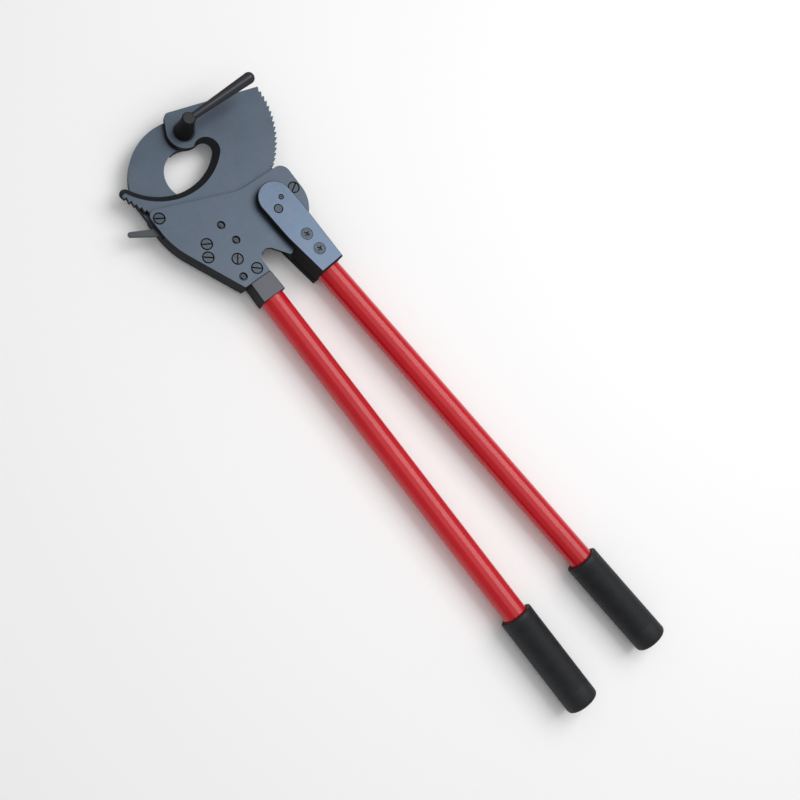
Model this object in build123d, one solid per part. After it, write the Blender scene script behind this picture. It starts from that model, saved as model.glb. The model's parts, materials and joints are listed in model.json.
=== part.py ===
"""Long-handled ratchet cable cutter, modelled flat on its back.

Everything is laid out around the blade pivot: +X runs along the fixed handle towards its grip, +Z points
out of the front face, and z = 0 is the shear plane between the moving blade (above) and the hook blade
(below). At the end the whole tool is moved so that the origin is the bottom centre of its bounding box.
The pawls are shown released, held just clear of the ratchet teeth.
"""

from build123d import *
import os
from math import acos, atan2, cos, degrees, hypot, radians, sin, sqrt, tan

# ---- layers through the head (mm) ----
PLATE_T = 4.0          # each frame plate
BLADE_T = 8.0          # each blade
SLIDE = 0.1            # gap between faces that slide on each other
FACE_Z = BLADE_T + PLATE_T          # outer face of a frame plate, front and back
WASHER_T = 2.0
STRAP_T = 8.0
STRAP_Z = FACE_Z + WASHER_T         # inner face of a handle strap
FIT = 0.05             # radial clearance of a running fit
THROUGH = 60.0         # half height of a drill that passes through everything
FAR = 300.0            # beyond every outline

# ---- moving blade: a toothed sector with a hollow cutting edge ----
TIP_R = 101.2          # circle through the tooth tips
ROOT_R = 98.7
PITCH = 3.5            # degrees between teeth
TEETH = 47
FIRST_TOOTH = 89.7     # direction of the first tooth's steep flank, in degrees
TIP_LAND = 0.55        # degrees of flat on each tooth tip
ROOT_LAND = 0.1        # degrees of flat at each tooth root
EDGE_C = (-11.6, -31.2)             # centre of the long cutting arc
EDGE_R = 63.7
HOLLOW_R = 9.3         # small arc that carries the cutting edge round onto the boss
NOSE_R = 6.1           # rounded tip of the blade
LOBE_R = 18.8          # round boss of blade around the pivot
BACK_EDGE_DIR = 75.0   # direction of the straight back edge
BACK_EDGE_OFFSET = 24.8             # its distance from the pivot
HEEL_BACK = 13.0       # how far the back edge runs on past the foot of that distance
HEEL_R = 6.5           # rounding where the back edge turns onto the boss
BEVEL_W = 7.6          # width of the ground bevel along both cutting edges
HOLLOW_BEVEL_W = 2.5   # its width where the hollow runs out beside the pivot
NOSE_BEVEL_W = 5.0     # width of the bevel round the blade's tip
EDGE_LAND = 0.4        # thickness left at a cutting edge
EDGE_BEVEL_START = -80.0            # direction, from EDGE_C, past the nose

# ---- hook blade ----
HOOK_OUT_C = (50.2, -20.2)
HOOK_OUT_R = 71.9
HOOK_IN_C = (40.0, -19.8)
HOOK_IN_R = 28.8
HOOK_BOSS_R = 15.0     # boss of the hook around the pivot, hidden under the moving blade
HOOK_SHOULDER_Y = -6.0 # upper edge of the ring on the jaw's side of the boss
HOOK_RING_X = (-30.0, 55.0)         # the ring's extent, back of the hook and into the shank
HOOK_BEVEL_DIRS = (190, 314)        # directions, from HOOK_IN_C, between which the ring is ground
SHANK_X = 40.0         # where the shank starts
SHANK_TOP = -41.0      # its upper edge; it is clamped between the plates

# ---- frame outline ----
FLANK_Y = -90.0        # straight lower flank
FLANK_TURN_X = 95.1    # where the flank turns up towards the socket
FLANK_TURN_R = 90.0
FRAME_END_X = 173.5
FRAME_END_Y = -53.5
FRAME_CORNER_R = 2.0
THROAT_DIR = 70.1      # direction of the edge that faces the jaw
THROAT_X = 85.4        # where that edge turns parallel to Y
THROAT_Y = 6.9
THROAT_TURN_R = 60.0
THROAT_FOOT_R = 7.0    # rounding where it meets the flank
EAR_C = (118.3, 30.0)  # the ear's top is straight as far as this arc
EAR_R = 38.5
EAR_CORNER_R = 11.0
EAR_END_DIR = 22.0     # direction, from EAR_C, in which the arc ends
NOTCH_C = (161.6, -10.0)
NOTCH_R = 9.7
ARM_DIR = 38.0         # direction of the edge beyond the notch
ARM_TIP = (172.5, 10.8)
ARM_TIP_R = 2.5
BACK_RELIEF = (-3.5, 10.0)          # the back plate's notch is deeper by this step
RING_GAP = 0.9         # spacers stand this far outside the tooth tips
SPACER_X = 60.0        # flank spacer's end under the jaw
SPACER_TOP = -54.0     # flank spacer's upper edge, below the holding pawl's spring
EAR_SPACER_Y = 46.0    # ear spacer's lower edge
EAR_SPACER_END_X = 160.0
EAR_SPACER_CLEAR_R = 17.0           # round the handle pivot
LEVER_WAY = 8.0        # room beside the release lever's centre line

# ---- pins and screws through the frame ----
GUIDE_SCREW = (63.9, -82.6)         # beside the teeth, under the jaw
SCREWS = [GUIDE_SCREW, (113.2, -58.4), (125.6, -66.1), (144.1, -41.2), (163.6, -30.1), (114.6, 60.4)]
SLOT_DIRS = [60, 62, 52, 142, 52, 120]      # how far each screw is turned, in degrees
SCREW_BORE_R = 6.7     # counterbore that a head is sunk in
SCREW_HEAD_R = 5.2
SCREW_HEAD_H = 2.8
SCREW_R = 2.5
SCREW_SLOT = (1.7, 1.7)             # width and depth of the driver slot
SLEEVE_R = 3.0
PIN_R = 3.0
PIN_END_R = 2.0        # riveted end, in a counterbore
PIN_BORE_R = 4.7
PIN_BORE_H = 2.6
PIN_DIMPLE_R = 0.8
PIN_DIMPLE_TIP_R = 0.1
PAWL_PIN = (105.1, -32.8)           # holding pawl pivot
SPRING_PIN = (126.8, -29.5)
SOCKET_PIN = (162.8, -48.1)

# ---- fixed handle ----
TUBE_R = 14.0
TUBE_WALL = 2.0
HANDLE_Y = -33.4       # fixed tube's axis
TONGUE_X = 136.0
SOCKET_END_X = 198.0
SOCKET_W = 28.8        # at the tube end
SOCKET_NECK_W = 27.2   # at the frame end
SOCKET_T = 26.0
SOCKET_CHAMFER = 0.8
SPIGOT_L = 60.0
GRIP_R = 19.15
GRIP_L = 122.6
GRIP_X = 627.8         # start of the fixed handle's grip
GRIP_END_T = 6.0       # rubber past the tube's end
GRIP_END_ROUND = 5.0
GRIP_LIP_ROUND = 1.2

# ---- moving handle, in its own axes: s along the tube from the straps' round end, t across it ----
ARM_ORIGIN = (115.1, 31.7)
ARM_ANGLE = 4.07
STRAP_ROUND_R = 19.5
STRAP_TAPER_S = (41.0, 20.0)        # where the lower and the upper edge start to close in
STRAP_END_S = 92.8
STRAP_END_HALF = 14.95
STRAP_CHAMFER = 0.7
STRAP_END_CHAMFER = 1.6             # on the edge beside the tube
PIVOT_ST = (2.5, 5.65)
DRIVE_PIN_ST = (10.5, -5.75)
STRAP_SCREWS_S = (50.2, 70.8)
STRAP_SCREW_HEAD_R = 6.2
STRAP_SCREW_GAP = 0.6  # open ring round each countersunk head
STRAP_SCREW_R = 3.0
STRAP_SCREW_L = 19.0
STRAP_SCREW_SINK = 0.5 # the shank starts this far inside the head
STRAP_RECESS = (6.4, 1.5, 2.0)      # span, width and depth of the cross recess
STRAP_RECESS_DIR = 20.0
GRIP_S = 518.9         # start of the moving handle's grip
HANDLE_OPEN = 40.0     # degrees
SLOT_CLEAR = 0.4       # round the drive pin, in the plates' curved slots
SLOT_SPARE = 1.0       # degrees of slot past each end of the pin's travel
PIVOT_PIN_R = 4.0
PIVOT_END_R = 1.9      # riveted end that shows in the strap
PIVOT_BORE_R = 3.1     # its counterbore
BUSH_R = 5.6
DRIVE_PIN_R = 5.2
DRIVE_PIN_CHAMFER = 1.1
HANDLE_WASHER_R = 8.0
SOCKET_CLEAR_R = 59.5  # hollow end of the moving socket, around the handle pivot
SOCKET_START_S = 41.0
SOCKET_INSET = 0.8     # how far the socket stands back from the straps' edges

# ---- pawls ----
NOSE_DEPTH_R = 99.2    # how deep a nose reaches when engaged
PAWL_LIFT = 3.2        # degrees between engaged and the released pose modelled
HOLD_TOOTH = 38        # tooth that the holding pawl meets
DRIVE_TOOTH = 29       # tooth that the drive pawl meets
DRIVE_NOSE_R = 101.75  # drive pawl's nose, released
PAWL_EYE_R = 7.0
DRIVE_EYE_R = 7.8
PAWL_NOSE_GAP = 0.25   # degrees between a nose and the flank it meets
PAWL_NOSE_L = 10.0
PAWL_NOSE_SPREAD = 7.0 # degrees, at the nose's root
PAWL_NOSE_BACK = (2.9, 2.5)         # its back corner: height over the tip and degrees behind it
PAWL_RELIEF = 0.8      # between the holding pawl's body and the teeth
LEVER_DIR = 241.4      # release lever, from the holding pawl's pivot
LEVER_L = 97.0
LEVER_HALF = 5.0
LEVER_TIP_HALF = 2.7
LEVER_ROOT = 52.0      # from the pivot to where the lever starts to taper
LEVER_NECK = 6.0       # where its full-depth neck starts
LEVER_Z = (1.5, 4.5)   # the lever is thinner than the pawl
SPRING_T = 0.8
SPRING_REACH = 20.0    # along the lever, where the spring bears on it
SPRING_GAP = 0.9       # left open there while the pawl is released
SPRING_CURL_R = 1.0
SPRING_MARGIN = 0.6    # the spring is narrower than a blade by this on each side

# ---- pivot bolt and clamp lever ----
BOLT_R = 6.0
BOLT_HEAD_AF = 19.0
BOLT_HEAD_H = 6.0
BOLT_CHAMFER = 0.8
HUB_BASE_R = 10.0
HUB_MIDDLE_R = 8.9
HUB_TOP_R = 7.3
HUB_H = 35.0
HUB_FOOT_H = 4.0       # straight foot of the bell
HUB_MIDDLE_H = 14.0
HUB_COLLAR_H = 8.0     # straight collar at its top
HUB_CAP = 6.0          # solid top above the bolt's hole
HUB_CHAMFER = 1.2
CLAMP_WASHER_R = 10.8
BOLT_WASHER_R = 12.0
BOLT_WASHER_T = 1.5
CLAMP_ARM_DIR = 91.1   # direction of the clamp arm
CLAMP_ARM_RISE = 6.0   # degrees it rises outward
CLAMP_ARM_DROP = 4.0   # its axis, below the hub's top
CLAMP_ARM_L = 80.6
CLAMP_ARM_NECK_R = 4.0
CLAMP_ARM_END_R = 6.3
CLAMP_ARM_SEAT = 1.5   # how deep the arm sits in the hub


# ---------------------------------------------------------------- geometry helpers

def polar(radius, angle, centre=(0, 0)):
    """Point at a distance and direction (degrees) from a centre."""
    return (centre[0] + radius * cos(radians(angle)), centre[1] + radius * sin(radians(angle)))


def circle_meets(c1, r1, c2, r2):
    """The two points where two circles cross."""
    gap = hypot(c2[0] - c1[0], c2[1] - c1[1])
    along = (gap * gap + r1 * r1 - r2 * r2) / (2 * gap)
    turn = degrees(acos(along / r1))
    heading = degrees(atan2(c2[1] - c1[1], c2[0] - c1[0]))
    return polar(r1, heading + turn, c1), polar(r1, heading - turn, c1)


def at(point):
    return Pos(point[0], point[1])


def disc(centre, radius):
    return at(centre) * Circle(radius)


def polygon(*points):
    return make_face(Polyline(*points, close=True))


def box_face(x0, x1, y0, y1):
    return polygon((x0, y0), (x1, y0), (x1, y1), (x0, y1))


def arc(centre, radius, start, end):
    """Arc from one direction to another; it runs clockwise when end is less than start."""
    middle = polar(radius, (start + end) / 2, centre)
    return ThreePointArc(polar(radius, start, centre), middle, polar(radius, end, centre))


def rounded(face, corners):
    """Round the corners of a face: {point: radius}."""
    for point, radius in corners.items():
        face = fillet(face.vertices().sort_by_distance((*point, 0))[0], radius)
    return face


def slab(face, z0, z1):
    return Pos(0, 0, z0) * extrude(face, z1 - z0)


def rod(centre, radius, z0, z1):
    return slab(disc(centre, radius), z0, z1)


def drilled(body, centre, radius, z0=-THROUGH, z1=THROUGH):
    return body - rod(centre, radius, z0, z1)


def bevel_cutter(centre, radius, z_edge, z_far, start, end, width=BEVEL_W):
    """Ring to grind off along an arc, from the cutting edge to the far face.

    A width below 0 bevels a convex edge.
    """
    up = 1 if z_far > z_edge else -1
    out = 1 if width > 0 else -1
    z_land = z_edge + up * EDGE_LAND
    profile = Polyline(
        (radius - out, 0, z_land),
        (radius, 0, z_land),
        (radius + width, 0, z_far),
        (radius + width, 0, z_far + up),
        (radius - out, 0, z_far + up),
        close=True,
    )
    ring = revolve(make_face(profile), Axis.Z, end - start)
    return at(centre) * (Rot(0, 0, start) * ring)


# ---------------------------------------------------------------- derived places

# the hollow's arc touches both the long cutting arc and the boss
HOLLOW_C = max(circle_meets(EDGE_C, EDGE_R - HOLLOW_R, (0, 0), LOBE_R + HOLLOW_R), key=lambda p: p[0])
HOLLOW_DIR = degrees(atan2(HOLLOW_C[1] - EDGE_C[1], HOLLOW_C[0] - EDGE_C[0]))
LOBE_DIR = degrees(atan2(HOLLOW_C[1], HOLLOW_C[0]))
NOSE_C = max(circle_meets((0, 0), TIP_R - NOSE_R, EDGE_C, EDGE_R + NOSE_R), key=lambda p: p[0])
NOSE_DIR = degrees(atan2(NOSE_C[1], NOSE_C[0]))     # where the tip's round meets the tooth circle
NOSE_EDGE_DIR = degrees(atan2(NOSE_C[1] - EDGE_C[1], NOSE_C[0] - EDGE_C[0]))


def handle_point(st):
    """Point of the moving handle, from its own axes to the tool's."""
    s, t = st
    a = radians(ARM_ANGLE)
    return (ARM_ORIGIN[0] + s * cos(a) - t * sin(a), ARM_ORIGIN[1] + s * sin(a) + t * cos(a))


HANDLE_PIVOT = handle_point(PIVOT_ST)
DRIVE_PIN = handle_point(DRIVE_PIN_ST)
HANDLE_AXES = Pos(*ARM_ORIGIN, 0) * Rot(0, 0, ARM_ANGLE)


# ---------------------------------------------------------------- outlines

def tooth_points():
    """Saw-tooth ring, clockwise from the back edge: each tooth is a steep flank, a land and a slope."""
    points = []
    for k in range(TEETH):
        flank = FIRST_TOOTH - k * PITCH
        points.append(polar(TIP_R, flank))
        points.append(polar(TIP_R, flank - TIP_LAND))
        points.append(polar(ROOT_R, flank - PITCH + ROOT_LAND))
    return points


def moving_blade_outline():
    teeth = tooth_points()
    last = FIRST_TOOTH - TEETH * PITCH
    heel = polar(-HEEL_BACK, BACK_EDGE_DIR, polar(BACK_EDGE_OFFSET, BACK_EDGE_DIR + 90))
    boss_end = degrees(atan2(heel[1], heel[0])) + degrees(acos(LOBE_R / hypot(*heel)))
    boss_end = boss_end - 360 if boss_end > 0 else boss_end
    edges = [
        Polyline(*teeth, polar(TIP_R, last)),
        arc((0, 0), TIP_R, last, NOSE_DIR),
        arc(NOSE_C, NOSE_R, NOSE_DIR, NOSE_EDGE_DIR - 180),
        arc(EDGE_C, EDGE_R, NOSE_EDGE_DIR, HOLLOW_DIR),
        arc(HOLLOW_C, HOLLOW_R, HOLLOW_DIR, LOBE_DIR + 180),
        arc((0, 0), LOBE_R, LOBE_DIR, boss_end),
        Line(polar(LOBE_R, boss_end), heel),
        Line(heel, teeth[0]),
    ]
    return rounded(make_face(edges), {heel: HEEL_R})


def flank_region():
    """Everything on the tool's side of its lower flank, up to the end of the frame."""
    face = polygon(
        (-FAR, FLANK_Y),
        (FLANK_TURN_X, FLANK_Y),
        (FRAME_END_X, FRAME_END_Y),
        (FRAME_END_X, FAR),
        (-FAR, FAR),
    )
    return rounded(face, {(FLANK_TURN_X, FLANK_Y): FLANK_TURN_R})


def frame_outline():
    throat_low_x = THROAT_X - (THROAT_Y - FLANK_Y) / tan(radians(THROAT_DIR))
    ear_top_y = EAR_C[1] + EAR_R
    notch_end = polar(NOTCH_R, ARM_DIR + 90, NOTCH_C)
    edges = [
        Polyline(
            (NOTCH_C[0], NOTCH_C[1] - NOTCH_R),
            (FRAME_END_X, NOTCH_C[1] - NOTCH_R),
            (FRAME_END_X, FRAME_END_Y),
            (FLANK_TURN_X, FLANK_Y),
            (throat_low_x, FLANK_Y),
            (THROAT_X, THROAT_Y),
            (THROAT_X, ear_top_y),
            (EAR_C[0], ear_top_y),
        ),
        arc(EAR_C, EAR_R, 90, EAR_END_DIR),
        Polyline(polar(EAR_R, EAR_END_DIR, EAR_C), ARM_TIP, notch_end),
        arc(NOTCH_C, NOTCH_R, ARM_DIR + 90, 270),
    ]
    return rounded(
        make_face(edges),
        {
            (FRAME_END_X, NOTCH_C[1] - NOTCH_R): FRAME_CORNER_R,
            (FRAME_END_X, FRAME_END_Y): FRAME_CORNER_R,
            (FLANK_TURN_X, FLANK_Y): FLANK_TURN_R,
            (throat_low_x, FLANK_Y): THROAT_FOOT_R,
            (THROAT_X, THROAT_Y): THROAT_TURN_R,
            (THROAT_X, ear_top_y): EAR_CORNER_R,
            ARM_TIP: ARM_TIP_R,
        },
    )


def drive_slot():
    """Curved slot, round the handle pivot, that the drive pawl's pin travels in."""
    radius = hypot(DRIVE_PIN[0] - HANDLE_PIVOT[0], DRIVE_PIN[1] - HANDLE_PIVOT[1])
    start = degrees(atan2(DRIVE_PIN[1] - HANDLE_PIVOT[1], DRIVE_PIN[0] - HANDLE_PIVOT[0]))
    half = DRIVE_PIN_R + SLOT_CLEAR
    first, last = start - SLOT_SPARE, start + HANDLE_OPEN + SLOT_SPARE
    edges = [
        arc(HANDLE_PIVOT, radius + half, first, last),
        arc(polar(radius, last, HANDLE_PIVOT), half, last, last + 180),
        arc(HANDLE_PIVOT, radius - half, last, first),
        arc(polar(radius, first, HANDLE_PIVOT), half, first + 180, first + 360),
    ]
    return make_face(edges)


def strap_outline():
    """Round end with parallel sides that close in to the square tube end, in the handle's own axes."""
    lower_taper, upper_taper = STRAP_TAPER_S
    sides = Polyline(
        (0, -STRAP_ROUND_R),
        (lower_taper, -STRAP_ROUND_R),
        (STRAP_END_S, -STRAP_END_HALF),
        (STRAP_END_S, STRAP_END_HALF),
        (upper_taper, STRAP_ROUND_R),
        (0, STRAP_ROUND_R),
    )
    return make_face([arc((0, 0), STRAP_ROUND_R, 90, 270), sides])


# ---------------------------------------------------------------- blades

def hollow_bevel(z0, z1):
    """Oblique cone that carries the bevel round the hollow, narrowing towards the pivot."""
    top_r = HOLLOW_R + (BEVEL_W + HOLLOW_BEVEL_W) / 2
    top_c = polar((BEVEL_W - HOLLOW_BEVEL_W) / 2, HOLLOW_DIR, HOLLOW_C)
    edge = Pos(*HOLLOW_C, z0 + EDGE_LAND) * Circle(HOLLOW_R)
    return loft([edge, Pos(*top_c, z1) * Circle(top_r)])


def moving_blade():
    z0, z1 = SLIDE, BLADE_T - SLIDE
    blade = slab(moving_blade_outline(), z0, z1)
    blade -= bevel_cutter(EDGE_C, EDGE_R, z0, z1, EDGE_BEVEL_START, HOLLOW_DIR)
    blade -= hollow_bevel(z0, z1)
    blade -= bevel_cutter(NOSE_C, NOSE_R, z0, z1, NOSE_EDGE_DIR - 185, NOSE_DIR, -NOSE_BEVEL_W)
    return drilled(blade, (0, 0), BOLT_R + FIT)


def hook_blade():
    back, front = HOOK_RING_X
    ring_side = box_face(back, 0, FLANK_Y, 0) + box_face(0, front, FLANK_Y, HOOK_SHOULDER_Y)
    band = disc(HOOK_OUT_C, HOOK_OUT_R) & ring_side
    shank = box_face(SHANK_X, TONGUE_X, FLANK_Y, SHANK_TOP) & flank_region()
    face = band + shank - disc(HOOK_IN_C, HOOK_IN_R) + Circle(HOOK_BOSS_R)
    hook = slab(face, -BLADE_T, 0)
    hook -= bevel_cutter(HOOK_IN_C, HOOK_IN_R, 0, -BLADE_T, *HOOK_BEVEL_DIRS)
    for centre in SCREWS[:3]:
        hook = drilled(hook, centre, SCREW_R + FIT)
    return drilled(hook, (0, 0), BOLT_R + FIT)


# ---------------------------------------------------------------- frame

def frame_plate(z0, z1):
    plate = slab(frame_outline(), z0, z1)
    for centre in SCREWS:
        plate = drilled(plate, centre, SCREW_R + FIT)
    for centre in (PAWL_PIN, SPRING_PIN, SOCKET_PIN):
        plate = drilled(plate, centre, PIN_R + FIT)
        plate = drilled(plate, centre, PIN_BORE_R, FACE_Z - PIN_BORE_H)
        plate = drilled(plate, centre, PIN_BORE_R, z1=PIN_BORE_H - FACE_Z)
    plate = drilled(plate, HANDLE_PIVOT, BUSH_R + FIT)
    return plate - slab(drive_slot(), z0 - 1, z1 + 1)


def front_frame_plate():
    plate = frame_plate(BLADE_T, FACE_Z)
    for centre in SCREWS:
        plate = drilled(plate, centre, SCREW_BORE_R, FACE_Z - SCREW_HEAD_H)
    return plate


def back_frame_plate():
    """Like the front plate, but with a deeper notch beside the moving handle."""
    reach = 2 * NOTCH_R
    inner = polar(NOTCH_R, ARM_DIR + 90, NOTCH_C)
    outer = polar(reach, ARM_DIR, ARM_TIP)
    relief = disc(NOTCH_C, NOTCH_R) + polygon(inner, outer, (outer[0], NOTCH_C[1]), NOTCH_C)
    return frame_plate(-FACE_Z, -BLADE_T) - slab(Pos(*BACK_RELIEF) * relief, -FACE_Z - 1, 0)


def lever_offset_region(offset):
    """Half of the plane that lies more than offset from the release lever, away from the teeth."""
    near = polar(offset, LEVER_DIR + 90, PAWL_PIN)
    away = polar(FAR, LEVER_DIR + 90, near)
    return polygon(
        polar(FAR, LEVER_DIR, near),
        polar(FAR, LEVER_DIR, away),
        polar(-FAR, LEVER_DIR, away),
        polar(-FAR, LEVER_DIR, near),
    )


def body_spacer():
    """Fills the flank above the hook's shank, and leaves the way out for the release lever."""
    face = box_face(SPACER_X, TONGUE_X, FLANK_Y, SPACER_TOP) & flank_region()
    face = face & lever_offset_region(LEVER_WAY)
    spacer = slab(face, 0, BLADE_T)
    for centre in SCREWS[1:3]:
        spacer = drilled(spacer, centre, SCREW_R + FIT)
    return spacer


def ear_spacer():
    """Keeps the plates apart in the ear, outside the teeth and clear of the handle pivot."""
    face = frame_outline() & box_face(THROAT_X, EAR_SPACER_END_X, EAR_SPACER_Y, EAR_C[1] + EAR_R)
    face = face - Circle(TIP_R + RING_GAP) - disc(HANDLE_PIVOT, EAR_SPACER_CLEAR_R)
    face = max(face.faces(), key=lambda f: f.area)
    spacer = slab(face, -BLADE_T, BLADE_T)
    return drilled(spacer, SCREWS[5], SCREW_R + FIT)


def guide_sleeve():
    return drilled(rod(GUIDE_SCREW, SLEEVE_R, 0, BLADE_T), GUIDE_SCREW, SCREW_R + FIT)


def slotted_screw(centre, turned):
    screw = rod(centre, SCREW_HEAD_R, FACE_Z - SCREW_HEAD_H, FACE_Z)
    screw += rod(centre, SCREW_R, -FACE_Z, FACE_Z - SCREW_HEAD_H)
    width, depth = SCREW_SLOT
    slot = at(centre) * Rot(0, 0, turned) * Rectangle(3 * SCREW_HEAD_R, width)
    return screw - slab(slot, FACE_Z - depth, FACE_Z + 1)


def frame_screws():
    return [slotted_screw(centre, turned) for centre, turned in zip(SCREWS, SLOT_DIRS)]


def dimpled_pin(centre, radius, z0, z1):
    """Pin with a centre-drilled dimple in each end."""
    pin = rod(centre, radius, z0, z1)
    upright = (Align.CENTER, Align.CENTER, Align.MIN)
    dimple = Cone(PIN_DIMPLE_R, PIN_DIMPLE_TIP_R, PIN_DIMPLE_R, align=upright)
    for z, turned in ((z1, 180), (z0, 0)):
        pin -= Pos(*centre, z) * Rot(turned, 0, 0) * dimple
    return pin


def frame_pin(centre):
    """Pin through both plates, with thinner riveted ends."""
    shoulder = FACE_Z - PIN_BORE_H
    return dimpled_pin(centre, PIN_END_R, -FACE_Z, FACE_Z) + rod(centre, PIN_R, -shoulder, shoulder)


def handle_pivot_bush():
    return drilled(rod(HANDLE_PIVOT, BUSH_R, -FACE_Z, FACE_Z), HANDLE_PIVOT, PIVOT_PIN_R + FIT)


def holding_pawl_spring():
    """Leaf spring: an eye round its pin and a blade that bears on the pawl's outer side."""
    bearing = polar(SPRING_REACH, LEVER_DIR, PAWL_PIN)
    tip = polar(LEVER_HALF + SPRING_CURL_R + SPRING_GAP, LEVER_DIR + 90, bearing)
    eye_r = PIN_R + FIT + SPRING_T
    heading = degrees(atan2(tip[1] - SPRING_PIN[1], tip[0] - SPRING_PIN[0]))
    start = polar(PIN_R + FIT + SPRING_T / 2, heading - 90, SPRING_PIN)
    length = hypot(tip[0] - start[0], tip[1] - start[1])
    heading = degrees(atan2(tip[1] - start[1], tip[0] - start[0]))
    leaf = at(start) * Rot(0, 0, heading) * (Pos(length / 2, 0) * Rectangle(length, SPRING_T))
    curl = disc(tip, SPRING_CURL_R)
    face = disc(SPRING_PIN, eye_r) + leaf + curl - disc(SPRING_PIN, PIN_R + FIT)
    return slab(face, SPRING_MARGIN, BLADE_T - SPRING_MARGIN)


# ---------------------------------------------------------------- fixed handle

def fixed_socket():
    """Tongue between the plates, flared block, and spigot inside the tube."""
    tongue_face = box_face(TONGUE_X, FRAME_END_X, FLANK_Y, NOTCH_C[1] - NOTCH_R) & flank_region()
    socket = slab(tongue_face, -BLADE_T, BLADE_T)
    neck, end = SOCKET_NECK_W / 2, SOCKET_W / 2
    block_face = polygon(
        (FRAME_END_X, HANDLE_Y - neck),
        (SOCKET_END_X, HANDLE_Y - end),
        (SOCKET_END_X, HANDLE_Y + end),
        (FRAME_END_X, HANDLE_Y + neck),
    )
    block = slab(block_face, -SOCKET_T / 2, SOCKET_T / 2)
    block = chamfer(block.edges().filter_by(Axis.Z, reverse=True), SOCKET_CHAMFER)
    socket += block
    spigot_r = TUBE_R - TUBE_WALL - FIT
    socket += Pos(SOCKET_END_X, HANDLE_Y, 0) * Rot(0, 90, 0) * extrude(Circle(spigot_r), SPIGOT_L)
    for centre in SCREWS[3:5]:
        socket = drilled(socket, centre, SCREW_R + FIT)
    return drilled(socket, SOCKET_PIN, PIN_R + FIT)


def handle_tube(length):
    """Tube along +X from the origin."""
    return Rot(0, 90, 0) * extrude(Circle(TUBE_R) - Circle(TUBE_R - TUBE_WALL), length)


def handle_grip():
    """Rubber sleeve along +X from the origin, closed and rounded at its far end."""
    sleeve = extrude(Circle(GRIP_R), GRIP_L)
    sleeve = fillet(sleeve.edges().sort_by(Axis.Z)[-1], GRIP_END_ROUND)
    sleeve = fillet(sleeve.edges().sort_by(Axis.Z)[0], GRIP_LIP_ROUND)
    sleeve -= extrude(Circle(TUBE_R + FIT), GRIP_L - GRIP_END_T)
    return Rot(0, 90, 0) * sleeve


def fixed_handle_tube():
    return Pos(SOCKET_END_X, HANDLE_Y, 0) * handle_tube(GRIP_X + GRIP_L - GRIP_END_T - SOCKET_END_X)


def fixed_handle_grip():
    return Pos(GRIP_X, HANDLE_Y, 0) * handle_grip()


# ---------------------------------------------------------------- moving handle

def strap(z0, z1):
    """One side strap; its outer edges are eased and its screw holes countersunk."""
    plate = slab(strap_outline(), z0, z1)
    outer = z1 if z1 > 0 else z0
    rim = plate.faces().sort_by(Axis.Z)[-1 if z1 > 0 else 0].outer_wire().edges().sort_by(Axis.X)
    plate = chamfer(rim[-1], STRAP_END_CHAMFER)
    rim = plate.faces().sort_by(Axis.Z)[-1 if z1 > 0 else 0].outer_wire().edges().sort_by(Axis.X)
    plate = chamfer(rim[:-1], STRAP_CHAMFER)
    plate = drilled(plate, PIVOT_ST, PIVOT_END_R + FIT)
    plate = drilled(plate, PIVOT_ST, PIVOT_BORE_R, STRAP_Z + STRAP_T - PIN_BORE_H)
    plate = drilled(plate, PIVOT_ST, PIVOT_BORE_R, z1=PIN_BORE_H - STRAP_Z - STRAP_T)
    plate = drilled(plate, DRIVE_PIN_ST, DRIVE_PIN_R + FIT)
    for s in STRAP_SCREWS_S:
        plate = drilled(plate, (s, 0), STRAP_SCREW_R + FIT)
        plate -= countersink((s, 0), outer, 1 if z1 > 0 else -1, STRAP_SCREW_GAP)
    return HANDLE_AXES * plate


def countersink(centre, z, side, clearance=0.0):
    """Cone of a countersunk head whose flat is flush at z; side is +1 at the front, -1 at the back."""
    depth = STRAP_SCREW_HEAD_R - STRAP_SCREW_R
    cone = Cone(
        STRAP_SCREW_R + clearance, STRAP_SCREW_HEAD_R + clearance, depth,
        align=(Align.CENTER, Align.CENTER, Align.MAX),
    )
    return Pos(*centre, z) * Rot(0 if side > 0 else 180, 0, 0) * cone


def strap_screw(s, side):
    """Countersunk cross-recess screw, from one face into the socket between the straps."""
    face_z = side * (STRAP_Z + STRAP_T)
    low, high = sorted((face_z - side * STRAP_SCREW_SINK, face_z - side * STRAP_SCREW_L))
    screw = countersink((s, 0), face_z, side) + rod((s, 0), STRAP_SCREW_R, low, high)
    span, width, depth = STRAP_RECESS
    recess = Rectangle(span, width) + Rectangle(width, span) + Circle(width)
    low, high = sorted((face_z + side, face_z - side * depth))
    return HANDLE_AXES * (screw - slab(Pos(s, 0) * Rot(0, 0, STRAP_RECESS_DIR) * recess, low, high))


def strap_screws():
    return [strap_screw(s, side) for s in STRAP_SCREWS_S for side in (1, -1)]


def moving_socket():
    """Block between the straps, hollowed to clear the frame, with a spigot inside the tube."""
    half = STRAP_END_HALF - SOCKET_INSET
    wide = STRAP_ROUND_R - SOCKET_INSET
    lower_taper, upper_taper = STRAP_TAPER_S
    face = polygon((lower_taper, -wide), (STRAP_END_S, -half), (STRAP_END_S, half), (upper_taper, wide))
    face = face & box_face(SOCKET_START_S, STRAP_END_S, -wide, wide)
    face -= disc(PIVOT_ST, SOCKET_CLEAR_R)
    block = slab(face, -STRAP_Z, STRAP_Z)
    spigot_r = TUBE_R - TUBE_WALL - FIT
    block += Pos(STRAP_END_S, 0, 0) * Rot(0, 90, 0) * extrude(Circle(spigot_r), SPIGOT_L)
    for s in STRAP_SCREWS_S:
        for side in (1, -1):
            low, high = sorted((side * (STRAP_Z + 1), side * (STRAP_Z + STRAP_T - STRAP_SCREW_L - 1)))
            block = drilled(block, (s, 0), STRAP_SCREW_R + FIT, low, high)
    return HANDLE_AXES * block


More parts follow.
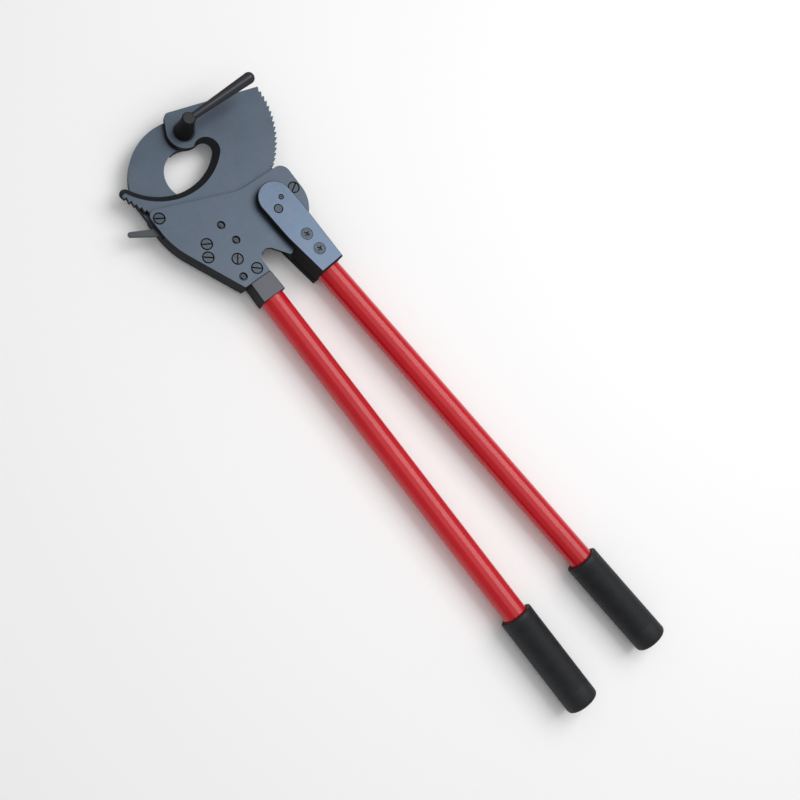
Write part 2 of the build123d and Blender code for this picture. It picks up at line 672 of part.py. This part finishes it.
def handle_pivot_pin():
    """Shouldered pin: full size in the frame's bush, riveted thinner through the straps."""
    pin = dimpled_pin(HANDLE_PIVOT, PIVOT_END_R, -STRAP_Z - STRAP_T, STRAP_Z + STRAP_T)
    return pin + rod(HANDLE_PIVOT, PIVOT_PIN_R, -STRAP_Z, STRAP_Z)


def drive_pawl_pin():
    pin = rod(DRIVE_PIN, DRIVE_PIN_R, -STRAP_Z - STRAP_T, STRAP_Z + STRAP_T)
    return chamfer(pin.edges().filter_by(GeomType.CIRCLE), DRIVE_PIN_CHAMFER)


def handle_washers():
    washers = []
    for side in (1, -1):
        low, high = sorted((side * (FACE_Z + SLIDE), side * STRAP_Z))
        blank = rod(HANDLE_PIVOT, HANDLE_WASHER_R, low, high)
        washers.append(drilled(blank, HANDLE_PIVOT, PIVOT_PIN_R + FIT))
    return washers


def moving_handle_tube():
    return HANDLE_AXES * Pos(STRAP_END_S, 0, 0) * handle_tube(GRIP_S + GRIP_L - GRIP_END_T - STRAP_END_S)


def moving_handle_grip():
    return HANDLE_AXES * Pos(GRIP_S, 0, 0) * handle_grip()


# ---------------------------------------------------------------- pawls

def nose_wedge(tooth, tip_r):
    """Nose that bears on a tooth's steep flank, as a polygon from its tip outward."""
    flank = FIRST_TOOTH - tooth * PITCH + PAWL_NOSE_GAP
    rise, back = PAWL_NOSE_BACK
    return [
        polar(tip_r, flank),
        polar(tip_r + PAWL_NOSE_L, flank),
        polar(tip_r + PAWL_NOSE_L, flank + PAWL_NOSE_SPREAD),
        polar(tip_r + rise, flank + back),
    ]


def holding_pawl():
    """Pawl and release lever in one piece; outlined engaged, then turned to its released pose."""
    nose = polygon(*nose_wedge(HOLD_TOOTH, NOSE_DEPTH_R))
    eye = disc(PAWL_PIN, PAWL_EYE_R)
    body = make_hull(eye.edges() + nose.edges()) - Circle(TIP_R + PAWL_RELIEF) + nose
    body = Pos(*PAWL_PIN) * Rot(0, 0, PAWL_LIFT) * Pos(-PAWL_PIN[0], -PAWL_PIN[1]) * body
    tip = polar(LEVER_L - LEVER_TIP_HALF, LEVER_DIR, PAWL_PIN)
    root = polar(LEVER_ROOT, LEVER_DIR, PAWL_PIN)
    lever = make_hull(disc(tip, LEVER_TIP_HALF).edges() + disc(root, LEVER_HALF).edges())
    neck_start = polar(LEVER_NECK, LEVER_DIR, PAWL_PIN)
    neck = make_hull(disc(root, LEVER_HALF).edges() + disc(neck_start, LEVER_HALF).edges())
    pawl = slab(body + neck, 2 * SLIDE, BLADE_T - 2 * SLIDE) + slab(lever, *LEVER_Z)
    return drilled(pawl, PAWL_PIN, PIN_R + FIT)


def drive_pawl():
    nose = polygon(*nose_wedge(DRIVE_TOOTH, DRIVE_NOSE_R))
    eye = disc(DRIVE_PIN, DRIVE_EYE_R)
    body = make_hull(eye.edges() + nose.edges())
    pawl = slab(body, -BLADE_T + 2 * SLIDE, BLADE_T - 2 * SLIDE)
    return drilled(pawl, DRIVE_PIN, DRIVE_PIN_R + FIT)


# ---------------------------------------------------------------- pivot bolt and clamp lever

def pivot_bolt():
    """Hexagon-headed bolt, from the back, through both blades."""
    head_top = -BLADE_T - BOLT_WASHER_T
    head = slab(RegularPolygon(BOLT_HEAD_AF / 2, 6, major_radius=False), head_top - BOLT_HEAD_H, head_top)
    head = chamfer(head.faces().sort_by(Axis.Z)[0].edges(), BOLT_CHAMFER)
    return head + rod((0, 0), BOLT_R, head_top, BLADE_T + HUB_H - HUB_CAP - 1)


def bolt_washer():
    return drilled(rod((0, 0), BOLT_WASHER_R, -BLADE_T - BOLT_WASHER_T, -BLADE_T), (0, 0), BOLT_R + FIT)


def clamp_washer():
    return drilled(rod((0, 0), CLAMP_WASHER_R, BLADE_T, BLADE_T + BOLT_WASHER_T), (0, 0), BOLT_R + FIT)


def clamp_hub():
    """Bell-shaped clamp nut that screws down on the bolt."""
    base_z = BLADE_T + BOLT_WASHER_T + SLIDE
    top_z = BLADE_T + HUB_H
    hole_r = BOLT_R + FIT
    foot = (HUB_BASE_R, 0, base_z + HUB_FOOT_H)
    collar = (HUB_TOP_R, 0, top_z - HUB_COLLAR_H)
    profile = make_face(
        [
            Polyline((hole_r, 0, top_z - HUB_CAP), (hole_r, 0, base_z), (HUB_BASE_R, 0, base_z), foot),
            Spline(foot, (HUB_MIDDLE_R, 0, base_z + HUB_MIDDLE_H), collar),
            Polyline(
                collar,
                (HUB_TOP_R, 0, top_z - HUB_CHAMFER),
                (HUB_TOP_R - HUB_CHAMFER, 0, top_z),
                (0, 0, top_z),
                (0, 0, top_z - HUB_CAP),
                (hole_r, 0, top_z - HUB_CAP),
            ),
        ]
    )
    return revolve(profile, Axis.Z, 360)


def arm_axes():
    """Clamp arm's own axis, +Z outward along the arm from the middle of the hub's top."""
    root = Pos(0, 0, BLADE_T + HUB_H - CLAMP_ARM_DROP)
    return root * Rot(0, 0, CLAMP_ARM_DIR) * Rot(0, 90 - CLAMP_ARM_RISE, 0)


def clamp_arm():
    """Round arm, thicker towards its ball end."""
    start = HUB_TOP_R - CLAMP_ARM_SEAT
    tip = (0, 0, CLAMP_ARM_L + CLAMP_ARM_END_R)
    shoulder = (CLAMP_ARM_END_R, 0, CLAMP_ARM_L)
    half_way = CLAMP_ARM_END_R * sqrt(0.5)
    profile = make_face(
        [
            Polyline(tip, (0, 0, start), (CLAMP_ARM_NECK_R, 0, start), shoulder),
            ThreePointArc(shoulder, (half_way, 0, CLAMP_ARM_L + half_way), tip),
        ]
    )
    return arm_axes() * revolve(profile, Axis.Z, 360)


def drilled_hub():
    """The hub with the seat that the arm is driven into."""
    start = HUB_TOP_R - CLAMP_ARM_SEAT
    seat = Pos(0, 0, start - FIT) * extrude(Circle(CLAMP_ARM_NECK_R + 2 * FIT), HUB_TOP_R)
    return clamp_hub() - arm_axes() * seat


# ---------------------------------------------------------------- assembly

def build():
    return {
        "front_frame_plate": [front_frame_plate()],
        "back_frame_plate": [back_frame_plate()],
        "hook_blade": [hook_blade()],
        "body_spacer": [body_spacer()],
        "ear_spacer": [ear_spacer()],
        "guide_sleeve": [guide_sleeve()],
        "frame_screws": frame_screws(),
        "holding_pawl_pin": [frame_pin(PAWL_PIN)],
        "spring_pin": [frame_pin(SPRING_PIN)],
        "socket_pin": [frame_pin(SOCKET_PIN)],
        "holding_pawl_spring": [holding_pawl_spring()],
        "handle_pivot_bush": [handle_pivot_bush()],
        "fixed_socket": [fixed_socket()],
        "fixed_handle_tube": [fixed_handle_tube()],
        "fixed_handle_grip": [fixed_handle_grip()],
        "pivot_bolt": [pivot_bolt()],
        "pivot_bolt_washer": [bolt_washer()],
        "moving_blade": [moving_blade()],
        "front_strap": [strap(STRAP_Z, STRAP_Z + STRAP_T)],
        "back_strap": [strap(-STRAP_Z - STRAP_T, -STRAP_Z)],
        "moving_socket": [moving_socket()],
        "strap_screws": strap_screws(),
        "handle_pivot_pin": [handle_pivot_pin()],
        "drive_pawl_pin": [drive_pawl_pin()],
        "handle_washers": handle_washers(),
        "moving_handle_tube": [moving_handle_tube()],
        "moving_handle_grip": [moving_handle_grip()],
        "drive_pawl": [drive_pawl()],
        "holding_pawl": [holding_pawl()],
        "clamp_washer": [clamp_washer()],
        "clamp_hub": [drilled_hub()],
        "clamp_arm": [clamp_arm()],
    }


def main():
    parts = build()
    tool = Compound([solid for solids in parts.values() for body in solids for solid in body.solids()])
    extent = tool.bounding_box()
    middle = extent.center()
    shift = Vector(-middle.X, -middle.Y, -extent.min.Z)
    os.makedirs("parts", exist_ok=True)
    for name, bodies in parts.items():
        solids = [Pos(shift) * solid for body in bodies for solid in body.solids()]
        shape = solids[0] if len(solids) == 1 else Compound(solids)
        export_step(shape, f"parts/{name}.step")
    print("blade pivot", tuple(round(v, 3) for v in shift))
    print("handle pivot", [round(a + b, 3) for a, b in zip(HANDLE_PIVOT, (shift.X, shift.Y))])
    print("drive pawl pin", [round(a + b, 3) for a, b in zip(DRIVE_PIN, (shift.X, shift.Y))])
    print("holding pawl pin", [round(a + b, 3) for a, b in zip(PAWL_PIN, (shift.X, shift.Y))])
    print("size", [round(v, 2) for v in extent.size])


main()
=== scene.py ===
"""Looks of the ratchet cable cutter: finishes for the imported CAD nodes, moulded rubber grips and a studio.

Everything is in metres in the part's own frame: +X along the fixed handle, +Z out of the front face.
"""

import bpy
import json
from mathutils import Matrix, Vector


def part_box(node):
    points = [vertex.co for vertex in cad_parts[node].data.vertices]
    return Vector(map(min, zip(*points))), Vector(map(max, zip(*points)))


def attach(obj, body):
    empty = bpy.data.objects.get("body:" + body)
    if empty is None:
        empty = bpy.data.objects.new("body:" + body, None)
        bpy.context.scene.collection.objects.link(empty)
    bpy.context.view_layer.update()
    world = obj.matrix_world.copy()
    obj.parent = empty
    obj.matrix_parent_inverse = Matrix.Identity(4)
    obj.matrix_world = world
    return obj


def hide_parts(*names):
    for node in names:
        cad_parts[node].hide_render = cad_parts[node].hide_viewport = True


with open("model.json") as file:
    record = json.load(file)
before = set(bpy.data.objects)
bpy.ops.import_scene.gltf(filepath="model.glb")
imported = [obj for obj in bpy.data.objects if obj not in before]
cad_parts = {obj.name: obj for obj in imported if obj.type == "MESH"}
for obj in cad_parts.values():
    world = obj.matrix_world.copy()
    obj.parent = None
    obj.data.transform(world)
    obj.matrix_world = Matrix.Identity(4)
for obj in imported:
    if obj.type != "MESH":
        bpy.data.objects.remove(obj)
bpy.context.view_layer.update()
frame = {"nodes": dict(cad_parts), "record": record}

import json
from math import cos, pi, radians, sin

import bmesh
import bpy
from mathutils import Matrix, Vector

MM = 0.001

# ---- camera: a long lens over the tool, tilted off the plates' normal ----
CAMERA_AZIMUTH = -6.2314
CAMERA_ELEVATION = 67.8713
CAMERA_ROLL = 58.2637
CAMERA_DISTANCE = 1.30532
AIM_FROM_PIVOT = Vector((0.367800, 0.012357, 0.0))     # point looked at, from the blade's pivot
LENS = 54.0
SENSOR = 36.0
CLIP_START = 0.01

JOINTS = {joint["name"]: joint for joint in frame["record"]["behaviour"]["joints"]}
CAMERA_TARGET = Vector(JOINTS["blade_pivot"]["pos_m"]) + AIM_FROM_PIVOT

# ---- grips ----
GRIP_R = 19.15 * MM
GRIP_BORE_R = 14.05 * MM
GRIP_L = 122.6 * MM
GRIP_END_T = 6.0 * MM           # thickness of the closed end
COLLAR_L = 9.0 * MM             # smooth collar at the open end
BAND_L = 22.0 * MM              # smooth band at the closed end
LIP_W = 0.9 * MM                # softened outer edge at the open end
LIP_MIDDLE = (0.25 * MM, 0.30 * MM)     # a point on that edge: along the grip, and in from its radius
RIB_PITCH = 2.0 * MM
RIB_DEPTH = 0.42 * MM
# one rib: share of the pitch along it, and share of the depth down from its crest
RIB_SHAPE = ((0.0, 1.0), (0.18, 0.85), (0.32, 0.15), (0.5, 0.0), (0.68, 0.15), (0.82, 0.85))
GROOVE_W = 0.9 * MM             # groove on each side of the ribbed length
GROOVE_MIDDLE = (0.35 * MM, 0.12 * MM)  # a point on the band's side of it, given as LIP_MIDDLE is
END_ROUND = 5.0 * MM
END_ROUND_STEPS = 8
END_CENTRE_R = 6.0 * MM         # flat middle of the closed end
TURN_STEPS = 96                 # faces round the grip
MERGE_DISTANCE = 1e-7
MOVING_GRIP_TURN = radians(4.07)        # the moving handle's direction at rest, from the fixed handle's

# ---- surfaces ----
FACE_BLUE = (0.078, 0.104, 0.141)
STRAP_BLUE = (0.109, 0.154, 0.222)
# painted shade: the near-black colour given to cut walls and bevels in place of the face colour
WALL_SHADE = (0.008, 0.009, 0.011)
WALL_ROUGHNESS = 0.8
TEMPER = (1.16, 1.00, 0.98)             # faint warmer patches left by the bluing
# painted shade in recesses and beside steps: how far each reaches, and how strong the softer one is
RECESS_SHADE_REACH = 2.5 * MM
CORNER_SHADE_REACH = 7.0 * MM                 # soft painted shade beside a step
CORNER_SHADE_STRENGTH = 0.45
CLOUD = 35 * MM                         # sizes of the bluing's drift, temper patches, mottle and grain
PATCH = 20 * MM
MOTTLE = 4 * MM
GRAIN = 0.35 * MM
RUBBED_W = 0.7 * MM                     # how far from an edge steel is rubbed bright
RIM_RUBBED_W = 0.3 * MM                 # the same on screw and pin ends
RIB_RUBBED_W = 0.5 * MM                 # and on the grips' ribs
EDGE_COSINES = (0.985, 0.80)            # turn of a rounded edge's normal: no edge, full edge
EDGE_SAMPLES = 6
SKY_SHARES = (0.92, 0.50)               # share of the sky in sight: open face, deep in a slot
SKY_SAMPLES = 8
FACE_COSINES = (0.90, 0.985)            # upright part of the normal: wall or bevel, plate's face

# ---- studio ----
FLOOR_HALF = 6.0
FLOOR_GREY = 0.97
WORLD_STRENGTH = 0.40
SOFTBOXES = {
    "streak": {"direction": (0.05, 0.50, 0.87), "distance": 1.9, "size": 1.4, "power": 19.5},
    "overhead": {"direction": (0.0, -0.15, 1.0), "distance": 2.4, "size": 2.4, "power": 14},
}


# ---------------------------------------------------------------- node helpers

MIX_INPUTS = (0, 6, 7)          # places of a colour Mix node's factor and two colours
MIX_OUTPUT = 2


class Surface:
    """A material under construction: adds nodes, links them and keeps the Principled shader at hand."""

    def __init__(self, name):
        self.material = bpy.data.materials.new(name)
        self.material.use_nodes = True
        self.tree = self.material.node_tree
        self.shader = self.tree.nodes["Principled BSDF"]
        self.where = self.tree.nodes.new("ShaderNodeTexCoord")

    def node(self, kind, inputs=None, **settings):
        """New node; inputs maps a socket to a constant or to another node's output."""
        made = self.tree.nodes.new("ShaderNode" + kind)
        for key, value in settings.items():
            setattr(made, key, value)
        for key, value in (inputs or {}).items():
            self.feed(made.inputs[key], value)
        return made

    def feed(self, socket, value):
        """Links another node's output to the socket, or sets the socket to a constant."""
        if isinstance(value, bpy.types.NodeSocket):
            self.tree.links.new(value, socket)
        else:
            socket.default_value = value

    def set(self, **values):
        """Sets or links the shader's sockets; underscores stand for the spaces in their names."""
        for key, value in values.items():
            self.feed(self.shader.inputs[key.replace("_", " ")], value)

    def place(self, scale=(1, 1, 1)):
        """Object coordinates, stretched by scale."""
        return self.node("Mapping", {"Vector": self.where.outputs["Object"], "Scale": scale}).outputs[0]

    def noise(self, size, detail=4.0, roughness=0.55, stretch=(1, 1, 1)):
        """Noise whose features are about size metres across."""
        inputs = {"Vector": self.place(stretch), "Scale": 1 / size, "Detail": detail, "Roughness": roughness}
        return self.node("TexNoise", inputs).outputs["Fac"]

    def ramp(self, value, low, high, to_low=0.0, to_high=1.0):
        """Value between low and high, mapped linearly and clamped."""
        inputs = {"Value": value, "From Min": low, "From Max": high, "To Min": to_low, "To Max": to_high}
        return self.node("MapRange", inputs).outputs[0]

    def math(self, operation, first, second):
        """Result of a Math node; an operation on one value ignores the second."""
        made = self.node("Math", operation=operation)
        self.feed(made.inputs[0], first)
        self.feed(made.inputs[1], second)
        return made.outputs[0]

    def mix(self, factor, first, second):
        """Colour between first and second."""
        made = self.node("Mix", data_type="RGBA")
        for place, value in zip(MIX_INPUTS, (factor, first, second)):
            self.feed(made.inputs[place], value)
        return made.outputs[MIX_OUTPUT]

    def bump(self, height, distance, strength=1.0, normal=None):
        """Normal disturbed by a height map; distance is the height's full range in metres."""
        made = self.node("Bump", {"Height": height, "Distance": distance, "Strength": strength})
        if normal is not None:
            self.feed(made.inputs["Normal"], normal)
        return made.outputs[0]

    def edges(self, radius):
        """1 where a rounded edge of that radius would turn the surface, 0 on open faces."""
        bent = self.node("Bevel", {"Radius": radius}, samples=EDGE_SAMPLES).outputs[0]
        plain = self.node("NewGeometry").outputs["Normal"]
        dot = self.node("VectorMath", operation="DOT_PRODUCT")
        self.feed(dot.inputs[0], bent)
        self.feed(dot.inputs[1], plain)
        return self.ramp(dot.outputs["Value"], *EDGE_COSINES)

    def hollow_shade(self, reach):
        """Painted-shade mask: 1 down in slots, gaps and corners narrower than about reach metres, 0 on open
        faces.
        """
        open_sky = self.node("AmbientOcclusion", {"Distance": reach}, samples=SKY_SAMPLES).outputs["AO"]
        return self.ramp(open_sky, *SKY_SHARES)

    def facing_out(self):
        """1 on faces parallel to the plates, 0 on cut walls and ground bevels."""
        parts = self.node("SeparateXYZ", {"Vector": self.where.outputs["Normal"]})
        return self.ramp(self.math("ABSOLUTE", parts.outputs["Z"], 0.0), *FACE_COSINES)


def rgb(red, green, blue):
    """Opaque colour."""
    return (red, green, blue, 1.0)


def toned(colour, factor):
    """Colour brightened or darkened by a factor."""
    return rgb(*(part * factor for part in colour))


PAINTED_SHADE = rgb(0.004, 0.004, 0.005)        # painted shade laid into slots and corners
RUBBED_STEEL = rgb(0.30, 0.32, 0.34)
RUBBED_RIM = rgb(0.42, 0.43, 0.44)
DEEP_RED = rgb(0.50, 0.004, 0.011)
BRIGHT_RED = rgb(0.57, 0.006, 0.015)
RUBBER_BLACK = rgb(0.006, 0.007, 0.009)
RUBBER_BLOOM = rgb(0.013, 0.014, 0.017)
RUBBER_POLISHED = rgb(0.028, 0.030, 0.034)


# ---------------------------------------------------------------- materials

def oxide_steel(name, face, wall_shade, metallic=0.55, rough=0.42, wear=0.16):
    """Blued steel: satin faces with faint cloudiness, painted shade on the cut walls, in slots and beside
    steps, and thin rubbed edges.
    """
    s = Surface(name)
    clouds = s.noise(CLOUD, detail=5.0)
    mottle = s.noise(MOTTLE, detail=3.0)
    grain = s.noise(GRAIN, detail=2.0)
    patches = s.ramp(s.noise(PATCH, detail=3.0), 0.45, 0.70, to_high=0.5)
    warmer = rgb(*(part * warmth for part, warmth in zip(face, TEMPER)))
    tint = s.mix(s.ramp(clouds, 0.35, 0.65), toned(face, 0.90), toned(face, 1.10))
    tint = s.mix(s.ramp(mottle, 0.45, 0.75, to_high=0.18), tint, toned(face, 1.35))
    tint = s.mix(patches, tint, warmer)
    faces = s.facing_out()
    # painted shade: cut walls and bevels take the darker colour in place of the face tint
    tint = s.mix(faces, rgb(*wall_shade), tint)
    rubbed = s.math("MULTIPLY", s.edges(RUBBED_W), s.ramp(mottle, 0.35, 0.65))
    tint = s.mix(s.math("MULTIPLY", rubbed, wear), tint, RUBBED_STEEL)
    # painted shade: slots and gaps darkened to near black, and a softer painted shade beside steps
    tint = s.mix(s.hollow_shade(RECESS_SHADE_REACH), tint, PAINTED_SHADE)
    tint = s.mix(s.math("MULTIPLY", s.hollow_shade(CORNER_SHADE_REACH), CORNER_SHADE_STRENGTH), tint, PAINTED_SHADE)
    cloud_roughness = s.ramp(clouds, 0.3, 0.7, rough - 0.05, rough + 0.05)
    roughness = s.math("ADD", cloud_roughness, s.ramp(grain, 0.3, 0.7, -0.04, 0.04))
    wall_roughness = s.ramp(faces, 0.0, 1.0, to_low=WALL_ROUGHNESS, to_high=0.0)
    roughness = s.math("MAXIMUM", roughness, wall_roughness)
    s.set(Base_Color=tint, Metallic=metallic, Roughness=roughness)
    s.set(Normal=s.bump(grain, 0.02 * MM, 0.6, s.bump(mottle, 0.04 * MM, 0.25)))
    return s.material


def turned_steel(name, base, rough=0.34):
    """Screw and pin ends: metal with fine scratches, painted shade in recesses and faintly rubbed rims."""
    s = Surface(name)
    mottle = s.noise(1.5 * MM, detail=4.0)
    scratches = s.noise(0.6 * MM, detail=3.0, stretch=(1, 6, 1))
    tint = s.mix(s.ramp(mottle, 0.35, 0.7), toned(base, 0.75), toned(base, 1.2))
    tint = s.mix(s.math("MULTIPLY", s.edges(RIM_RUBBED_W), 0.15), tint, RUBBED_RIM)
    # painted shade in recesses
    tint = s.mix(s.hollow_shade(RECESS_SHADE_REACH), tint, PAINTED_SHADE)
    s.set(Base_Color=tint, Metallic=0.8, Roughness=s.ramp(scratches, 0.3, 0.7, rough - 0.08, rough + 0.1))
    s.set(Normal=s.bump(scratches, 0.03 * MM, 0.5))
    return s.material


def red_enamel():
    """Glossy stoved enamel: slight orange peel, faint depth of colour, a few dull handling marks."""
    s = Surface("red_enamel")
    peel = s.noise(2.2 * MM, detail=2.0)
    drift = s.noise(60 * MM, detail=4.0)
    marks = s.noise(9 * MM, detail=6.0, roughness=0.7)
    s.set(Base_Color=s.mix(s.ramp(drift, 0.3, 0.7), DEEP_RED, BRIGHT_RED))
    s.set(Metallic=0.0, IOR=1.5, Roughness=s.ramp(marks, 0.52, 0.72, 0.16, 0.25))
    s.set(Specular_IOR_Level=0.4, Coat_Weight=0.10, Coat_Roughness=0.10)
    normal = s.bump(peel, 0.04 * MM, 0.35)
    s.set(Normal=normal, Coat_Normal=normal)
    return s.material


def grip_rubber():
    """Moulded black rubber: matt with a fine grain, greyer where hands have polished the ribs."""
    s = Surface("grip_rubber")
    grain = s.noise(0.4 * MM, detail=3.0)
    bloom = s.noise(12 * MM, detail=5.0)
    tint = s.mix(s.ramp(bloom, 0.35, 0.7), RUBBER_BLACK, RUBBER_BLOOM)
    tint = s.mix(s.math("MULTIPLY", s.edges(RIB_RUBBED_W), 0.35), tint, RUBBER_POLISHED)
    s.set(Base_Color=tint, Roughness=s.ramp(bloom, 0.3, 0.7, 0.50, 0.64))
    s.set(IOR=1.5, Specular_IOR_Level=0.35)
    s.set(Normal=s.bump(grain, 0.04 * MM, 0.6))
    return s.material


def plain_floor():
    """Pale matt floor."""
    s = Surface("studio_floor")
    s.set(Base_Color=rgb(FLOOR_GREY, FLOOR_GREY, FLOOR_GREY), Roughness=0.9, Specular_IOR_Level=0.1)
    return s.material


def finishes():
    """Material for each of the record's slots."""
    return {
        # the second colour of each oxide finish is painted shade for its cut walls and bevels
        "blued_steel": oxide_steel("blued_steel", FACE_BLUE, WALL_SHADE),
        "blade_steel": oxide_steel("blade_steel", FACE_BLUE, (0.016, 0.019, 0.023)),
        "strap_steel": oxide_steel("strap_steel", STRAP_BLUE, WALL_SHADE, rough=0.38),
        "socket_steel": oxide_steel("socket_steel", (0.077, 0.080, 0.093), (0.014, 0.016, 0.017)),
        "lever_steel": oxide_steel("lever_steel", (0.056, 0.067, 0.078), (0.020, 0.023, 0.027)),
        "arm_steel": oxide_steel("arm_steel", (0.043, 0.045, 0.053), (0.038, 0.040, 0.047), rough=0.40),
        "black_oxide": oxide_steel("black_oxide", (0.028, 0.029, 0.033), (0.006, 0.007, 0.008), rough=0.36),
        "screw_steel": turned_steel("screw_steel", (0.060, 0.073, 0.090)),
        "bright_steel": turned_steel("bright_steel", (0.45, 0.46, 0.47)),
        "red_enamel": red_enamel(),
        "grip_rubber": grip_rubber(),
    }


def finish_nodes(surfaces):
    """Gives each CAD node the material of its slot in the record."""
    for part in frame["record"]["subparts"]:
        for slot in frame["nodes"][part["node"]].material_slots:
            slot.material = surfaces[part["material_slot"]]


# ---------------------------------------------------------------- grips

def point_below(start, offset):
    """Profile point that far along from start and that far in from the grip's radius."""
    along, inward = offset
    return (start + along, GRIP_R - inward)


def rib_profile():
    """(x, radius) of the grip's outside, from the open end to the closed end."""
    points = [(0.0, GRIP_BORE_R), (0.0, GRIP_R - LIP_W), point_below(0.0, LIP_MIDDLE)]
    points += [(LIP_W, GRIP_R), (COLLAR_L - GROOVE_W, GRIP_R)]
    ribbed_length = GRIP_L - BAND_L - COLLAR_L
    ribs = round(ribbed_length / RIB_PITCH)
    pitch = ribbed_length / ribs
    for rib in range(ribs):
        for along, depth in RIB_SHAPE:
            points.append((COLLAR_L + (rib + along) * pitch, GRIP_R - depth * RIB_DEPTH))
    band = GRIP_L - BAND_L
    points += [(band, GRIP_R - RIB_DEPTH), point_below(band, GROOVE_MIDDLE), (band + GROOVE_W, GRIP_R)]
    for step in range(END_ROUND_STEPS + 1):
        turn = radians(90 * step / END_ROUND_STEPS)
        points.append((GRIP_L - END_ROUND + END_ROUND * sin(turn), GRIP_R - END_ROUND * (1 - cos(turn))))
    return points


def ring_round(shell, x, radius):
    """Vertices round the X axis at that radius, or one vertex on the axis itself."""
    if radius == 0.0:
        return [shell.verts.new((x, 0, 0))]
    turns = [2 * pi * step / TURN_STEPS for step in range(TURN_STEPS)]
    return [shell.verts.new((x, radius * cos(turn), radius * sin(turn))) for turn in turns]


def join_rings(shell, first, second):
    """Faces between two rings; beside a single vertex they are triangles."""
    for i in range(TURN_STEPS):
        places = ((first, i), (first, i + 1), (second, i + 1), (second, i))
        corners = [ring[place % len(ring)] for ring, place in places]
        shell.faces.new(list(dict.fromkeys(corners)))


def grip_mesh(name):
    """Sleeve turned about X from the rib profile, with its bore."""
    outline = rib_profile() + [(GRIP_L, END_CENTRE_R), (GRIP_L, 0.0)]
    bore = [(GRIP_L - GRIP_END_T, 0.0), (GRIP_L - GRIP_END_T, GRIP_BORE_R), outline[0]]
    shell = bmesh.new()
    for chain in (outline, bore):
        rings = [ring_round(shell, x, radius) for x, radius in chain]
        for first, second in zip(rings, rings[1:]):
            join_rings(shell, first, second)
    bmesh.ops.remove_doubles(shell, verts=shell.verts, dist=MERGE_DISTANCE)
    bmesh.ops.recalc_face_normals(shell, faces=shell.faces)
    mesh = bpy.data.meshes.new(name)
    shell.to_mesh(mesh)
    shell.free()
    for face in mesh.polygons:
        face.use_smooth = True
    return mesh


def rubber_grip(name, node, body, along, rubber):
    """Ribbed grip in the place of a CAD grip; along is the tube's direction in the XY plane, in radians."""
    low, high = (Vector(corner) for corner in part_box(node))
    middle = (low + high) / 2
    direction = Vector((cos(along), sin(along), 0))
    piece = bpy.data.objects.new(name, grip_mesh(name))
    bpy.context.collection.objects.link(piece)
    start = middle - direction * GRIP_L / 2
    piece.matrix_world = Matrix.Translation(start) @ Matrix.Rotation(along, 4, "Z")
    piece.data.materials.append(rubber)
    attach(piece, body)
    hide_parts(node)


def rubber_grips(rubber):
    """One grip on each handle's end."""
    rubber_grip("ribbed_grip_fixed", "fixed_handle_grip", "frame", 0.0, rubber)
    rubber_grip("ribbed_grip_moving", "moving_handle_grip", "moving_handle", MOVING_GRIP_TURN, rubber)


# ---------------------------------------------------------------- studio

def camera_axes():
    """Image right, image up and the direction back towards the camera."""
    azimuth, elevation, roll = (radians(a) for a in (CAMERA_AZIMUTH, CAMERA_ELEVATION, CAMERA_ROLL))
    back = Vector((sin(azimuth) * cos(elevation), -cos(azimuth) * cos(elevation), sin(elevation)))
    level = Vector((cos(azimuth), sin(azimuth), 0))
    upright = back.cross(level)
    return (
        level * cos(roll) + upright * sin(roll),
        upright * cos(roll) - level * sin(roll),
        back,
    )


def aimed(obj, axes, place):
    """Puts obj at place with its X, Y and Z along axes."""
    obj.matrix_world = Matrix.Translation(place) @ Matrix(axes).transposed().to_4x4()


def camera():
    """Camera at the photograph's angle."""
    data = bpy.data.cameras.new("camera")
    data.lens = LENS
    data.sensor_width = SENSOR
    data.clip_start = CLIP_START
    obj = bpy.data.objects.new("camera", data)
    bpy.context.collection.objects.link(obj)
    axes = camera_axes()
    aimed(obj, axes, CAMERA_TARGET + axes[2] * CAMERA_DISTANCE)
    bpy.context.scene.camera = obj


def softbox(name, direction, distance, size, power):
    """Square area light that shines on the tool's middle from that direction."""
    data = bpy.data.lights.new(name, "AREA")
    data.size = size
    data.energy = power
    obj = bpy.data.objects.new(name, data)
    bpy.context.collection.objects.link(obj)
    back = Vector(direction).normalized()
    across = Vector((0, 1, 0)).cross(back).normalized()
    aimed(obj, (across, back.cross(across), back), CAMERA_TARGET + back * distance)


def studio_floor():
    """Square floor under the tool."""
    signs = ((-1, -1), (1, -1), (1, 1), (-1, 1))
    mesh = bpy.data.meshes.new("studio_floor")
    mesh.from_pydata([(x * FLOOR_HALF, y * FLOOR_HALF, 0) for x, y in signs], [], [(0, 1, 2, 3)])
    floor = bpy.data.objects.new("studio_floor", mesh)
    bpy.context.collection.objects.link(floor)
    floor.data.materials.append(plain_floor())


def white_world():
    """Even white light from all round."""
    world = bpy.data.worlds.new("studio")
    world.use_nodes = True
    background = world.node_tree.nodes["Background"]
    background.inputs["Color"].default_value = rgb(1, 1, 1)
    background.inputs["Strength"].default_value = WORLD_STRENGTH
    bpy.context.scene.world = world


def studio():
    """Floor, lights and plain colour handling."""
    studio_floor()
    for name, light in SOFTBOXES.items():
        softbox(name, **light)
    white_world()
    bpy.context.scene.view_settings.view_transform = "Standard"


surfaces = finishes()
finish_nodes(surfaces)
rubber_grips(surfaces["grip_rubber"])
studio()
camera()
